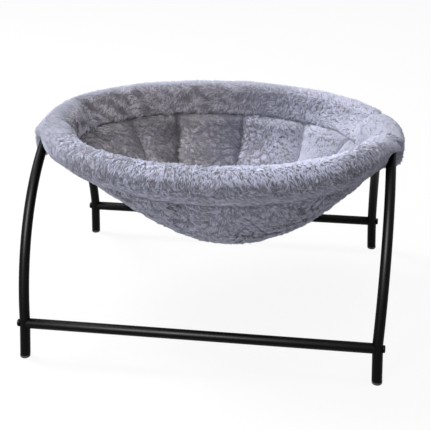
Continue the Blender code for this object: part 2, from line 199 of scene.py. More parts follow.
class Finish:
    def __init__(self, name, constants):
        self.material = bpy.data.materials.new(name)
        self.material.use_nodes = True
        self.tree = self.material.node_tree
        self.shader = self.tree.nodes["Principled BSDF"]
        for socket, value in constants.items():
            self.shader.inputs[socket].default_value = value

    def add(self, kind, settings=None, inputs=None, out=0):
        node = self.tree.nodes.new("ShaderNode" + kind)
        for key, value in (settings or {}).items():
            setattr(node, key, value)
        for key, value in (inputs or {}).items():
            self.feed(node.inputs[key], value)
        return Wire(self.tree, node.outputs[out])

    def feed(self, entry, value):
        if isinstance(value, Wire):
            self.tree.links.new(value.socket, entry)
        elif hasattr(value, "__len__") and entry.type == "RGBA":
            entry.default_value = (*value, 1)
        else:
            entry.default_value = value

    def drive(self, socket, value):
        self.feed(self.shader.inputs[socket], value)

    def mixColours(self, share, first, second, blend="MIX"):
        node = self.tree.nodes.new("ShaderNodeMix")
        node.data_type = "RGBA"
        node.blend_type = blend
        self.feed(node.inputs[0], share)
        self.feed(node.inputs[6], first)
        self.feed(node.inputs[7], second)
        return Wire(self.tree, node.outputs[2])

    def mark(self, name):
        return self.add("Attribute", {"attribute_name": name}, out=2)

    def grain(self, scale, detail):
        place = self.add("TexCoord", out=3)
        return self.add("TexNoise", inputs={
            "Vector": place, "Scale": scale, "Detail": detail, "Roughness": 0.5})

    def bump(self, height, strength, distance):
        normal = self.add("Bump", inputs={
            "Strength": strength, "Distance": distance, "Height": height})
        self.drive("Normal", normal)


# In the looks, grain is scale and detail, gloss is the least roughness and what the grain adds
# to it, and bump is strength and distance

plushLook = {
    "name": "lavenderPlush",
    "constants": {"Roughness": 0.92, "Sheen Weight": 0.35, "Sheen Roughness": 0.45,
                  "Sheen Tint": (0.86, 0.88, 1.0, 1), "Specular IOR Level": 0.12},
    "root": (0.180, 0.176, 0.220),
    "tip": (0.600, 0.620, 0.780),
    "warm": (0.590, 0.590, 0.680),
    # a painted brown shade, multiplied in where the pile is shaded
    "brown": (0.90, 0.82, 0.71),
    "dim": (0.50, 0.50, 0.50),
    "bright": (1.50, 1.50, 1.50),
    "patchGrain": (14.0, 4.0),
    "patchPower": 2.0,
    "pilePower": 0.8,
    "grain": (900.0, 2.0),
    "gloss": (0.84, 0.14),
    "bump": (0.35, 0.0006),
}


def plushFinish(look):
    plush = Finish(look["name"], look["constants"])
    patches = plush.grain(*look["patchGrain"])
    tip = plush.mixColours(patches ** look["patchPower"], look["tip"], look["warm"])
    # pile runs from the root colour to the tip colour; the darker roots are partly the fibres' own colour
    # and partly a painted shade deep among the tufts
    colour = plush.mixColours(plush.mark("pile") ** look["pilePower"], look["root"], tip)
    # the tone mark makes the pile lighter or darker: random tone, and painted light and shade
    tone = plush.mixColours(plush.mark("tone"), look["dim"], look["bright"])
    colour = plush.mixColours(1.0, colour, tone, "MULTIPLY")
    # the shaded mark mixes in the painted brown shade
    brown = plush.mixColours(1.0, colour, look["brown"], "MULTIPLY")
    plush.drive("Base Color", plush.mixColours(plush.mark("shaded"), colour, brown))
    fibre = plush.grain(*look["grain"])
    least, more = look["gloss"]
    plush.drive("Roughness", least + fibre * more)
    plush.bump(fibre, *look["bump"])
    return plush.material


plainLooks = {
    "coat": {
        "name": "blackPowderCoat",
        "constants": {"Roughness": 0.34, "Specular IOR Level": 0.05},
        "grain": (38.0, 5.0),
        "power": 3.0,
        "colours": ((0.0020, 0.0020, 0.0022), (0.0050, 0.0050, 0.0052)),
        "gloss": (0.34, 0.12),
        "fineGrain": (2600.0, 2.0),   # only for the bump
        "bump": (0.12, 0.0002),
    },
    "rubber": {
        "name": "blackFootPlug",
        "constants": {"Roughness": 0.6},
        "grain": (700.0, 3.0),
        "power": 2.0,
        "colours": ((0.010, 0.010, 0.010), (0.035, 0.035, 0.034)),
        "gloss": (0.5, 0.25),
        "bump": (0.25, 0.0002),
    },
    "zinc": {
        "name": "zincPlate",
        "constants": {"Metallic": 1.0, "Roughness": 0.34},
        "grain": (420.0, 4.0),
        "power": 1.0,
        "colours": ((0.44, 0.45, 0.47), (0.66, 0.66, 0.65)),
        "gloss": (0.25, 0.2),
    },
    "felt": {
        "name": "whiteWadding",
        "constants": {"Roughness": 0.95, "Sheen Weight": 0.3},
        "grain": (260.0, 6.0),
        "power": 1.0,
        "colours": ((0.62, 0.62, 0.60), (0.86, 0.86, 0.84)),
        "bump": (0.6, 0.001),
    },
}


def plainFinish(look):
    plain = Finish(look["name"], look["constants"])
    grain = plain.grain(*look["grain"])
    plain.drive("Base Color", plain.mixColours(grain ** look["power"], *look["colours"]))
    if "gloss" in look:
        least, more = look["gloss"]
        plain.drive("Roughness", least + grain * more)
    if "bump" in look:
        fine = plain.grain(*look["fineGrain"]) if "fineGrain" in look else grain
        plain.bump(fine, *look["bump"])
    return plain.material


finishes = {"plush": plushFinish(plushLook)}
finishes.update({kind: plainFinish(look) for kind, look in plainLooks.items()})
print("materials made")


def finishPiece(piece, name, nodes, look):
    piece.name = name
    piece.data.name = name
    piece.data.materials.clear()
    piece.data.materials.append(finishes[look])
    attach(piece, "root")
    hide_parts(*nodes)


# The stand's lines, as the frame has them

plan = {
    "tube": 0.012,
    "gap": 0.0003,
    "footX": 0.204,
    "footY": 0.168,
    "footInset": 0.0026,
    "barHeight": 0.044,
    "legRadius": 0.2283,
    "legLean": radians(10.9),
    "outerHalfWidth": 0.2085,
    "outerHalfDepth": 0.160,
    "innerHalfWidth": 0.1962,
    "innerHalfDepth": 0.156,
    "crossingEase": 0.02,
    "seamFrontHalfWidth": 0.193,
    "seamRearHalfWidth": 0.181,
    "seamHalfDepth": 0.152,
    "seamDrop": 0.0255,
    "seamLift": 0.0045,
    "leftLift": 0.0035,
    "leftTuck": 0.0045,
    "leftReach": 1.3,
    "frontReach": 2.2,
    "rightHang": 0.0060,
    "rightPower": 24,
    "pile": 0.0022,
    "sideTaper": 1.22,
    "leftTaper": 0.16,
    "rightTaper": 0.03,
    "bottomFill": 0.26,
    "seamGap": 0.0008,
    "wall": 0.0143,
    "floorHeight": 0.1098,
    "bowlShift": 0.022,
    "depthProfile": 2.2,
    "channels": 12,
    "lobeFront": -0.018,
    "lobeRear": 0.056,
}
plan["jointX"] = plan["footX"] - plan["footInset"]
plan["jointY"] = plan["footY"] - plan["footInset"]
plan["meanHalfWidth"] = (plan["outerHalfWidth"] + plan["innerHalfWidth"]) / 2
plan["meanHalfDepth"] = (plan["outerHalfDepth"] + plan["innerHalfDepth"]) / 2
tubeRadius = plan["tube"] / 2


def hoopHeight(past):
    rise = np.cos(plan["legLean"]) - (past + plan["jointY"]) / plan["legRadius"]
    turn = np.arccos(np.clip(rise, 0, 1))
    return plan["barHeight"] + plan["legRadius"] * (np.sin(turn) - np.sin(plan["legLean"]))


def hoopOf(facing):
    # half the width and half the depth of the oval that the front or the rear legs run up into
    kind = "outer" if facing > 0 else "inner"
    return plan[kind + "HalfWidth"], plan[kind + "HalfDepth"]


def legPoint(facing, side, past):
    # a point of a leg's centre line, past the crossing for a positive distance
    height = float(hoopHeight(past))
    climb = (height - plan["barHeight"]) / (float(hoopHeight(0)) - plan["barHeight"])
    return Vector((side * between(plan["jointX"], hoopOf(facing)[0], climb), facing * past, height))


# Tubes, screws and foot plugs

legShape = {
    "steps": 56,
    "endPast": 0.036,
    "footGap": 0.0037,
    "smooth": radians(35),
}
barShape = {
    "saddleSides": 64,
    "saddleLength": 0.048,
    "edge": 0.0003,
    "edgeSegments": 2,
    "edgeAngle": radians(40),
    "smooth": radians(35),
}
screwShape = {
    "radius": 0.0044,
    "height": 0.0024,
    "rounding": 0.001488,
    "segments": 6,
    "profile": 0.6,
    "step": 0.0019,
    "shank": 0.012,
    "smooth": radians(38),
    "socketSides": 6,
    "socketRadius": 0.0016,
    "socketDepth": 0.0013,
}
plugShape = {
    "radius": tubeRadius,
    "height": 0.0034,
    "rounding": 0.0016,
    "segments": 5,
    "profile": 0.5,
    "step": 0.0016,
    "shank": tubeRadius,
    "smooth": radians(38),
}
roundSides = 40
flatEnd = 0.9    # how squarely an end face looks along its piece
ringReach = 1.05   # of a tube's radius


def selectRing(piece, centre, reach):
    # selects the vertices near a point, in edit mode
    setMode("OBJECT")
    for vertex in piece.data.vertices:
        vertex.select = (vertex.co - centre).length < reach
    for edge in piece.data.edges:
        edge.select = all(piece.data.vertices[corner].select for corner in edge.vertices)
    for face in piece.data.polygons:
        face.select = False
    setMode("EDIT")


def selectEnd(piece, way):
    # selects the end face that looks up a piece's own Z for 1, down it for -1, in edit mode
    setMode("EDIT")
    bpy.ops.mesh.select_mode(type="FACE")
    bpy.ops.mesh.select_all(action="DESELECT")
    setMode("OBJECT")
    for face in piece.data.polygons:
        face.select = face.normal.z * way > flatEnd
    setMode("EDIT")


def pullOut(move):
    bpy.ops.mesh.extrude_region_move(TRANSFORM_OT_translate={"value": move})


def cylinderAt(place, radius, depth, turn, sides=roundSides):
    selectNothing()
    bpy.ops.mesh.primitive_cylinder_add(vertices=sides, radius=radius, depth=depth, location=place,
                                        rotation=turn)
    return bpy.context.object


def cutAway(piece, tool):
    cut = piece.modifiers.new("cut", "BOOLEAN")
    cut.operation = "DIFFERENCE"
    cut.object = tool
    applyModifiers(piece)
    bpy.data.objects.remove(tool)


def makeLeg(facing, side):
    joint = legPoint(facing, side, -plan["jointY"])
    finish = legPoint(facing, side, legShape["endPast"])
    halfWidth, halfDepth = hoopOf(facing)
    spread = side * (halfWidth - plan["jointX"]) / (float(hoopHeight(0)) - plan["barHeight"])
    lean = plan["legLean"]
    tangent = Vector((spread * cos(lean), facing * sin(lean), cos(lean))).normalized()
    centre = joint + plan["legRadius"] * Vector((-spread * sin(lean), facing * cos(lean), -sin(lean)))
    axis = Vector((0, facing, 0)).cross(Vector((spread, 0, 1))).normalized()
    rise = cos(lean) - (legShape["endPast"] + plan["jointY"]) / plan["legRadius"]
    sweep = float(np.arccos(rise)) - lean
    selectNothing()
    bpy.ops.mesh.primitive_circle_add(vertices=roundSides, radius=tubeRadius, location=joint,
                                      rotation=tangent.to_track_quat("Z", "Y").to_euler())
    leg = bpy.context.object
    settle(leg)
    setMode("EDIT")
    bpy.ops.mesh.select_all(action="SELECT")
    ends = [Matrix.Rotation(turn, 3, axis) @ (joint - centre) + centre for turn in (sweep, -sweep)]
    if (ends[0] - finish).length < (ends[1] - finish).length:
        sweep = -sweep   # spin turns the other way round its axis
    bpy.ops.mesh.spin(steps=legShape["steps"], angle=sweep, center=centre, axis=axis)
    selectRing(leg, joint, tubeRadius * ringReach)
    foot = Vector((side * plan["footX"], -facing * plan["footY"], 0))
    down = (foot - joint).normalized()
    pullOut(down * tubeRadius)
    pullOut(down * (joint.z - legShape["footGap"] - tubeRadius) / -down.z)
    setMode("OBJECT")
    for vertex in leg.data.vertices:
        past = facing * vertex.co.y
        if vertex.select:
            vertex.co.z = legShape["footGap"]
        if past > 0:   # from the crossing on, the tube follows the oval of the rim
            rimX = halfWidth * np.sqrt(1 - (past / halfDepth) ** 2)
            vertex.co.x += side * rimX - legPoint(facing, side, past).x
    weld(True)
    smoothBy(leg, legShape["smooth"])
    return leg


def makeCrossbar(facing):
    bar = cylinderAt((0, -facing * plan["jointY"], plan["barHeight"]), tubeRadius, 2 * plan["jointX"],
                     (0, pi / 2, 0))
    settle(bar)
    for side in (-1, 1):
        joint = legPoint(facing, side, -plan["jointY"])
        lean = (legPoint(facing, side, tubeRadius - plan["jointY"]) - joint).normalized()
        cutAway(bar, cylinderAt(joint, tubeRadius + plan["gap"], barShape["saddleLength"],
                                lean.to_track_quat("Z", "Y").to_euler(), barShape["saddleSides"]))
    edge = bar.modifiers.new("edge", "BEVEL")
    edge.width = barShape["edge"]
    edge.segments = barShape["edgeSegments"]
    edge.angle_limit = barShape["edgeAngle"]
    applyModifiers(bar)
    smoothBy(bar, barShape["smooth"])
    return bar


def makeStud(shape, place, turn, way):
    # a short cylinder turned about Y, with one end rounded and a shank out of the other
    stud = cylinderAt(place, shape["radius"], shape["height"], (0, turn, 0))
    selectEnd(stud, way)
    bpy.ops.mesh.bevel(offset=shape["rounding"], segments=shape["segments"], profile=shape["profile"])
    selectEnd(stud, -way)
    bpy.ops.mesh.inset(thickness=shape["step"])
    pullOut(Matrix.Rotation(turn, 3, "Y") @ Vector((0, 0, -way * shape["shank"])))
    settle(stud)
    return stud


def makeScrew(facing, side):
    shape = screwShape
    seat = plan["jointX"] + tubeRadius + plan["gap"]
    place = Vector((side * (seat + shape["height"] / 2), -facing * plan["jointY"], plan["barHeight"]))
    turn = side * pi / 2
    screw = makeStud(shape, place, turn, 1)
    top = place + Vector((side * shape["height"] / 2, 0, 0))
    cutAway(screw, cylinderAt(top, shape["socketRadius"], 2 * shape["socketDepth"], (0, turn, 0),
                              shape["socketSides"]))
    smoothBy(screw, shape["smooth"])
    return screw


def makeFootPlug(facing, side):
    place = Vector((side * plan["footX"], -facing * plan["footY"], plugShape["height"] / 2))
    plug = makeStud(plugShape, place, 0, -1)
    smoothBy(plug, plugShape["smooth"])
    return plug


def buildStand():
    parts = (
        (makeLeg, "leg_tube", "leg", "black_tube", "coat"),
        (makeScrew, "button_screw", "crossbar_screw", "black_tube", "coat"),
        (makeFootPlug, "foot_cap", "foot_plug", "foot_rubber", "rubber"),
    )
    for end, facing in (("front", 1), ("rear", -1)):
        finishPiece(makeCrossbar(facing), end + "_crossbar_tube", [end + "_crossbar"], "coat")
        for hand, side in (("left", -1), ("right", 1)):
            tag = f"{end}_{hand}_"
            for make, name, node, slot, look in parts:
                finishPiece(make(facing, side), tag + name, [tag + node], look)
    looks = {"black_tube": "coat", "foot_rubber": "rubber", "zinc_hardware": "zinc"}
    for row in frame["record"]["subparts"]:
        node = frame["nodes"][row["node"]]
        if row["material_slot"] in looks:
            node.data.materials.clear()
            node.data.materials.append(finishes[looks[row["material_slot"]]])
    print("stand made")


# Padding: every line follows one oval, halfway between the two hoops

def ovalAt(angle, halfWidth, halfDepth):
    return np.stack([halfWidth * np.cos(angle), halfDepth * np.sin(angle), 0 * angle], -1)


def outOf(angle):
    x, y = np.cos(angle) / plan["meanHalfWidth"], np.sin(angle) / plan["meanHalfDepth"]
    return unit(np.stack([x, y, 0 * angle], -1))


def softHeight(angle):
    return hoopHeight(np.hypot(plan["meanHalfDepth"] * np.sin(angle), plan["crossingEase"]))


def alongOut(angle, place):
    # the same point of the mean oval, moved along its outward line
    mean = ovalAt(angle, plan["meanHalfWidth"], plan["meanHalfDepth"])
    out = outOf(angle)
    return mean + out * np.sum((place - mean) * out, -1, keepdims=True)


def leftFront(angle):
    left = np.clip(-plan["leftReach"] * np.cos(angle), 0, 1)
    return left * np.clip(-plan["frontReach"] * np.sin(angle), 0, 1)


def seamDrop(angle):
    # the band is drawn up a little towards the sides, and hangs by the right legs
    drop = plan["seamDrop"] - plan["seamLift"] * np.cos(angle) ** 2 - plan["leftLift"] * leftFront(angle)
    return drop + plan["rightHang"] * np.clip(np.cos(angle), 0, 1) ** plan["rightPower"]


def seamAt(angle):
    halfWidth = between(plan["seamRearHalfWidth"], plan["seamFrontHalfWidth"], (1 - np.sin(angle)) / 2)
    tuck = plan["leftTuck"] * leftFront(angle)
    own = ovalAt(angle, halfWidth, plan["seamHalfDepth"])
    place = alongOut(angle, own) - outOf(angle) * tuck[..., None]
    place[..., 2] = softHeight(angle) - seamDrop(angle)
    return place


def angleAt(side, y):
    angle = float(np.arcsin(y / plan["meanHalfDepth"]))
    return angle if side > 0 else pi - angle


def angleOf(spots):
    return np.arctan2(spots[:, 1] / plan["meanHalfDepth"], spots[:, 0] / plan["meanHalfWidth"])


def aboveSeam(spots):
    angle = angleOf(spots)
    return spots[:, 2] - softHeight(angle) + seamDrop(angle)


def closedCurve(points, share):
    # Catmull-Rom through a ring of points, a ring for each share
    count = points.shape[1]
    spot = share * count
    first = np.floor(spot).astype(int)
    part = (spot - first)[:, None]
    rows = np.arange(len(share))
    before, start, finish, after = (points[rows, (first + step) % count] for step in (-1, 0, 1, 2))
    return 0.5 * (2 * start + (finish - before) * part
                  + (2 * before - 5 * start + 4 * finish - after) * part ** 2
                  + (3 * start - before - 3 * finish + after) * part ** 3)


# A roll's section has half widths inside and outside the tube, and pads above and below it

rollShape = {
    "turns": (-50, -22, 5, 32, 62, 90, 118, 148, 175, 202, 230),
    "rows": 44,
    "halfWidth": 0.0142,
    "lipSquare": 0.13,
    "besideLeg": 0.0030,
    "lipHalfWidth": 0.0162,
    "lipTop": 0.0182,
    "leftInner": 0.0275,
    "leftTop": 0.0185,
    "topPad": 0.0146,
    "lowPad": 0.018,
    "lobeHalfWidth": 0.0216,
    "lobeTopPad": 0.0158,
    "lobeLowPad": 0.030,
    "rearEndHalfWidth": 0.0125,
    "rearEndFade": 0.1,
    "leftFade": 0.17,
    "rightFade": 0.07,
    "hoopFade": 0.04,
    "lobeFade": 0.05,
    "slopeFade": 0.03,
    "pillow": 0.013,
    "frontGrow": 0.018,
    "leftGrow": 0.011,
    "rearGrow": 0.03,
    "rearShare": 0.35,
    "leftPillow": 0.97,
    "rightPillow": 0.62,
    "hang": 0.0040,
    "leftHang": 0.0065,
    "hangOut": 0.25,
    "hood": (0.45, 0.6),
    "bandEdge": 0.0012,
    "leftSlope": 0.46,
    "rightSlope": -0.08,
    "lumps": {"front": 0.0032, "rear": 0.0020, "lobe": 0.0020},
    "lumpSize": 0.034,
    "crinkles": (0.008, 0.0010),
}


def rollPlace(kind, side, angle, share, fromStart, toEnd):
    # kind is front, rear or lobe; fromStart and toEnd are distances along the roll
    shape = rollShape
    still = 0 * angle
    square, besideLeg, hang, blend = 1.0, still, 0.0, still
    mean = ovalAt(angle, plan["meanHalfWidth"], plan["meanHalfDepth"])
    out = outOf(angle)
    slope = np.where(angle > pi / 2, shape["leftSlope"], shape["rightSlope"])
    near = np.minimum(fromStart, toEnd)
    if kind == "front":
        left, right = 1 - ease(fromStart / shape["leftFade"]), 1 - ease(toEnd / shape["rightFade"])
        own = alongOut(angle, ovalAt(angle, *hoopOf(-1)))
        besideLeg = blend = 1 - ease(near / shape["hoopFade"])
        inner = between(shape["lipHalfWidth"], shape["leftInner"], left)
        inner = inner + (shape["lobeHalfWidth"] - shape["lipHalfWidth"]) * right
        outer = between(shape["lipHalfWidth"], shape["lobeHalfWidth"], blend)
        topPad = between(shape["lipTop"], shape["leftTop"], left)
        topPad = topPad + (shape["lobeTopPad"] - shape["lipTop"]) * right
        lowPad = between(shape["lowPad"], shape["lobeLowPad"], blend)
        slope = slope * blend
        square = 1 + shape["lipSquare"] * (1 - blend)
        pinch = 1.0 + still
    elif kind == "rear":
        own = alongOut(angle, ovalAt(angle, *hoopOf(1)))
        slope = still
        inner = between(shape["rearEndHalfWidth"], shape["halfWidth"], ease(near / shape["rearEndFade"]))
        outer = inner
        topPad, lowPad = shape["topPad"] + still, shape["lowPad"] + still
        pinch = bulge(near / shape["pillow"])
    else:
        own = mean
        length = fromStart + toEnd
        near = toEnd if side > 0 else fromStart
        low = between(shape["rearShare"], 1, ease(near / shape["rearGrow"]))
        hang = (shape["hang"] if side > 0 else shape["leftHang"]) * low
        fuller = ease(near / shape["lobeFade"]) * (side < 0)
        outer = shape["lobeHalfWidth"] + still
        inner = outer + (shape["leftInner"] - shape["lobeHalfWidth"]) * fuller
        topPad = between(shape["lobeTopPad"], shape["leftTop"], fuller)
        lowPad = between(shape["lowPad"], shape["lobeLowPad"], low)
        besideLeg = 1 - bulge((length - near) / shape["frontGrow" if side > 0 else "leftGrow"])
        slope = slope * ease(near / shape["slopeFade"])
        pinch = bulge(near / shape["pillow"])
    least = np.where(angle > pi / 2, shape["leftPillow"], shape["rightPillow"])
    pinch = least + (1 - least) * pinch
    centre = own + (mean - own) * blend[:, None]
    drop = seamDrop(angle)
    seamOut = np.sum((seamAt(angle) - centre) * out, -1)
    seamIn = seamOut - plan["wall"] / 2
    ring = [np.stack([seamOut + plan["wall"] / 2 + shape["bandEdge"], -drop], -1)]
    for turn in (radians(value) for value in shape["turns"]):
        outwards, raised = cos(turn) > 0, sin(turn) > 0
        # under the hood, the outer side makes room for the leg
        room = min(max((shape["hood"][0] - turn) / shape["hood"][1], 0), 1)
        wide = outer + (shape["besideLeg"] - outer) * besideLeg * room if outwards else inner
        wide = wide - plan["pile"]
        pad = (topPad if raised else lowPad) - plan["pile"]
        corner = 1 + (square - 1) * abs(sin(2 * turn)) if raised and outwards else 1.0
        up = pad * sin(turn) * pinch * corner
        across = wide * cos(turn) * pinch * corner
        if kind == "lobe" and outwards and not raised:   # the outer side hangs
            up = up - hang
            across = across * (1 - shape["hangOut"] * sin(turn))
        if not outwards and not raised:   # the inner side falls straight to the seam
            across = -wide * pinch + (seamIn + wide * pinch) * np.clip(-up / drop, 0, 1)
        ring.append(np.stack([across, up - slope * wide * max(cos(turn), 0)], -1))
    ring.append(np.stack([seamIn, -drop], -1))
    section = closedCurve(np.stack(ring, 1), share)
    place = centre + out * section[:, :1]
    place[:, 2] = softHeight(angle) + section[:, 1]
    return place


def addMark(mesh, name, values):
    layer = mesh.attributes.new(name, "FLOAT", "POINT")
    layer.data.foreach_set("value", np.ascontiguousarray(values, np.float32).ravel())


def clothGrid(columns, rows, place, closed, shadeAt=None):
    # a grid primitive, wrapped to a form given by shares along and across it
    selectNothing()
    bpy.ops.mesh.primitive_grid_add(x_subdivisions=columns, y_subdivisions=rows, size=1)
    cloth = bpy.context.object
    shares = readAll(cloth.data.vertices, "co") + 0.5
    cloth.data.vertices.foreach_set("co", place(shares[:, 0], shares[:, 1]).ravel())
    cloth.data.uv_layers[0].name = "OFBake"
    if shadeAt:
        addMark(cloth.data, "shade", shadeAt(shares[:, 0]))
    weld(closed)
    return cloth


def roughen(piece, *layers):
    # displaces a piece by clouds: the size of the lumps and their height, for each layer
    for size, height in layers:
        texture = bpy.data.textures.new("clouds", "CLOUDS")
        texture.noise_scale = size
        swell = piece.modifiers.new("swell", "DISPLACE")
        swell.texture = texture
        swell.texture_coords = "LOCAL"
        swell.strength = height
        swell.mid_level = 0.5
    applyModifiers(piece)


legSlot = {
    "radius": 0.0084,
    "search": 3.0,
    "fade": 0.006,
    "step": 0.004,
    "reach": 1.5,
    "steps": {1: 18, -1: 9},
    "clear": 0.0088,
    "length": 0.09,
    "rise": 0.3,
    "entries": {(1, -1): -0.020, (1, 1): -0.008, (-1, -1): -0.036, (-1, 1): -0.036},
}


def legLines():
    # for each leg: its side, and points down its centre line from where it leaves the plush
    for (facing, side), entry in legSlot["entries"].items():
        steps = range(legSlot["steps"][facing])
        points = [legPoint(facing, side, entry - step * legSlot["step"]) for step in steps]
        yield side, np.array([list(point) for point in points])


def partRoundLegs(piece):
    # draws the plush back from each leg, so that the leg comes out of a slot
    mesh = piece.data
    spots = readAll(mesh.vertices, "co")
    for side, line in legLines():
        gaps = np.linalg.norm(spots[:, None, :] - line[None], axis=2)
        where = np.nonzero(gaps.min(1) < legSlot["radius"] * legSlot["search"])[0]
        nearest = gaps.argmin(1)[where]
        axis = unit(np.gradient(line, axis=0))[nearest]
        away = spots[where] - line[nearest]
        beyond = np.sum(away * axis, 1)
        away -= axis * beyond[:, None]
        inward = np.array([-side, 0, legSlot["rise"]])
        inward = unit(inward - axis * np.sum(inward * axis, 1, keepdims=True))
        depth = np.sum(away * inward, 1)
        across = np.linalg.norm(away - inward * depth[:, None], axis=1)
        start = np.linalg.norm(line[nearest] - line[0], axis=1)
        radius = legSlot["radius"] * ease(start / legSlot["fade"])
        wanted = np.sqrt(np.clip(radius ** 2 - across ** 2, 0, None))
        move = np.where(across < radius, np.maximum(wanted - depth, 0), 0)
        move = move * (np.abs(beyond) < legSlot["reach"] * legSlot["step"])
        spots[where] += inward * move[:, None]
    mesh.vertices.foreach_set("co", spots.ravel())
    mesh.update()


def clearOfLegs(spots):
    clear = np.ones(len(spots))
    for _, line in legLines():
        near = np.linalg.norm(spots - line[0], axis=1) < legSlot["length"]
        gaps = np.linalg.norm(spots[near][:, None, :] - line[None], axis=2).min(1)
        clear[near] *= gaps > legSlot["clear"]
    return clear


# The pile: tufts of seven points, a ring in the skin, a ring halfway and the tip

tuftShape = {
    "perMetre": 400000,
    "length": 0.0060,
    "width": 0.0013,
    "bury": 0.08,
    "middle": 0.52,
    "middleWidth": 0.8,
    "keel": 0.6,
    "keelTurn": 1.15,
    "curve": (0.35, 0.42, 0.7),   # first lean, fall of the tip, run of the tip
    "flatLengths": (1.12, 0.3),
    "lengths": (0.8, 1.1),
    "clumpLengths": (0.8, 1.15),
    "widths": (0.75, 1.25),
    "leans": (0.85, 1.15),
    "hook": 0.2,
    "clump": 0.0080,
    "sink": 0.0012,
    "clumpPull": 0.32,
    "clumpTurn": 0.25,
    "scatter": 0.2,
    "swirl": 0.45,
    "swirlSize": 0.05,
    "swirlSeed": 40,
    "clumpTone": 0.06,
    "ownTone": 0.28,
    # partings are painted darker, a painted shade between the clumps
    "partingTone": 0.25,
    "partingShort": 0.45,
    "partWidth": 0.45,
    "bare": 0.0016,
    "calmTone": 0.10,
    "calmStir": 0.6,
    "calmEven": 0.8,
    "calmPile": 0.85,
    "calmDepth": 0.58,
    "patchShare": 0.0,
    "patchSize": 0.038,
    "patchSeed": 70,
    "patchEdge": 0.9,
    # the tufts along the seam are shorter, and painted darker as a painted shade in its groove
    "seamWidth": 0.0034,
    "seamTone": 0.34,
    "seamShort": 0.4,
    "seamSide": (0.0, 0.3),
    "soften": 0.45,
    "calmSoften": 0.9,
    # how far each tuft point is from the root colour to the tip colour; the dark roots are partly a
    # painted shade in the pile
    "levels": (0.1, 0.1, 0.15, 0.6, 0.6, 0.7, 1.0),
    "faces": ((0, 1, 4, 3), (1, 2, 5, 4), (2, 0, 3, 5), (3, 4, 6), (4, 5, 6), (5, 3, 6), (0, 2, 1)),
    "cell": ((0.1, 0.1), (0.5, 0.1), (0.9, 0.1), (0.2, 0.55), (0.5, 0.55), (0.8, 0.55), (0.5, 0.95)),
}
rimTufts = dict(tuftShape, length=0.0070, clump=0.0052, sink=0.0006, clumpPull=0.22, clumpTurn=0.14,
                scatter=0.16, swirl=0.22, clumpTone=0.04, ownTone=0.32)
liningTufts = dict(tuftShape, length=0.0066, clump=0.0100, clumpTone=0.08, ownTone=0.16, soften=0.58)
bowlTufts = dict(tuftShape, clump=0.0090, sink=0.0015, clumpPull=0.22, swirl=0.75, swirlSize=0.032,
                 clumpTone=0.04, ownTone=0.15, partingTone=0.50, partWidth=0.24, patchShare=0.62,
                 soften=0.64)
clumpStretch = np.array([0.8, 0.8, 1.25])   # clumps are wider than they are high
mapSplit = 0.4                              # the tufts' cells lie above this height of the map


def normalsOf(mesh):
    return readAll(mesh.vertex_normals, "vector")


def surfaceOf(piece):
    mesh = piece.data
    mesh.calc_loop_triangles()
    corners = readAll(mesh.loop_triangles, "vertices", kind=np.int32)
    return corners, readAll(mesh.vertices, "co"), normalsOf(mesh)


driftShape = {"waves": 7, "sizes": (0.7, 1.6), "calm": 2.6}


def drift(spots, size, seed):
    # smooth random vectors, from a few crossing waves
    draw = np.random.default_rng(seed)
    total = np.zeros((len(spots), 3))
    for _ in range(driftShape["waves"]):
        way = unit(draw.normal(0, 1, 3))
        wave = spots @ way * (2 * pi / (size * draw.uniform(*driftShape["sizes"])))
        total += np.sin(wave[:, None] + draw.uniform(0, 2 * pi, 3))
    return total / driftShape["calm"]


def scatterOn(corners, spots, normals, weights, count, draw):
    # random places on a surface, the surface's way up there, and how to read a value there
    a, b, c = (spots[corners[:, step]] for step in range(3))
    middle, facing = (a + b + c) / 3, np.cross(b - a, c - a)
    area = np.linalg.norm(facing, axis=1) / 2 * weights(middle, unit(facing))
    total = area.sum()
    count = count(total)
    picked = np.minimum(np.searchsorted(np.cumsum(area), draw.random(count) * total), len(area) - 1)
    shares = draw.random((count, 2))
    flip = shares.sum(1) > 1
    shares[flip] = 1 - shares[flip]
    shares = np.column_stack([1 - shares.sum(1), shares])
    roots = np.einsum("ij,ijk->ik", shares, spots[corners[picked]])
    up = unit(np.einsum("ij,ijk->ik", shares, normals[corners[picked]]))
    return roots, up, lambda values: np.einsum("ij,ij->i", shares, values[corners[picked]])


class Clumps:
    # the tufts lean together in clumps, with partings between them
    def __init__(self, centres, size, partWidth):
        self.centres = centres
        self.edge = size * partWidth
        self.tree = KDTree(len(centres))
        for place, centre in enumerate(centres):
            self.tree.insert(centre * clumpStretch, place)
        self.tree.balance()

    def find(self, spots):
        # the clump of each spot, the way to its middle, and how clear the spot is of a parting
        found = [self.tree.find_n(spot, 2) for spot in spots * clumpStretch]
        own = np.array([pair[0][1] for pair in found])
        edge = np.array([pair[1][2] - pair[0][2] for pair in found])
        return own, self.centres[own] - spots, ease(edge / self.edge)


def tuftPoints(roots, up, lie, length, width, lean, hook, shape):
    side = np.cross(up, lie)

    start, fall, run = shape["curve"]

    def along(part):
        rise = part * (1 - start * lean) - fall * lean * part * part
        away = start * lean * part + run * lean * part * part
        bend = hook * part * part
        return (up * (rise * length)[:, None] + lie * (away * length)[:, None]
                + side * (bend * length)[:, None])

    keel = unit(up * lean[:, None] - lie * (shape["keelTurn"] - lean)[:, None])
    points = np.empty((len(roots), 7, 3))
    for ring, (part, wide) in enumerate(((-shape["bury"], 1.0), (shape["middle"], shape["middleWidth"]))):
        base = roots + along(part)
        points[:, 3 * ring] = base - side * (width * wide / 2)[:, None]
        points[:, 3 * ring + 1] = base + side * (width * wide / 2)[:, None]
        points[:, 3 * ring + 2] = base + keel * (width * wide * shape["keel"])[:, None]
    points[:, 6] = roots + along(1.0)
    return points


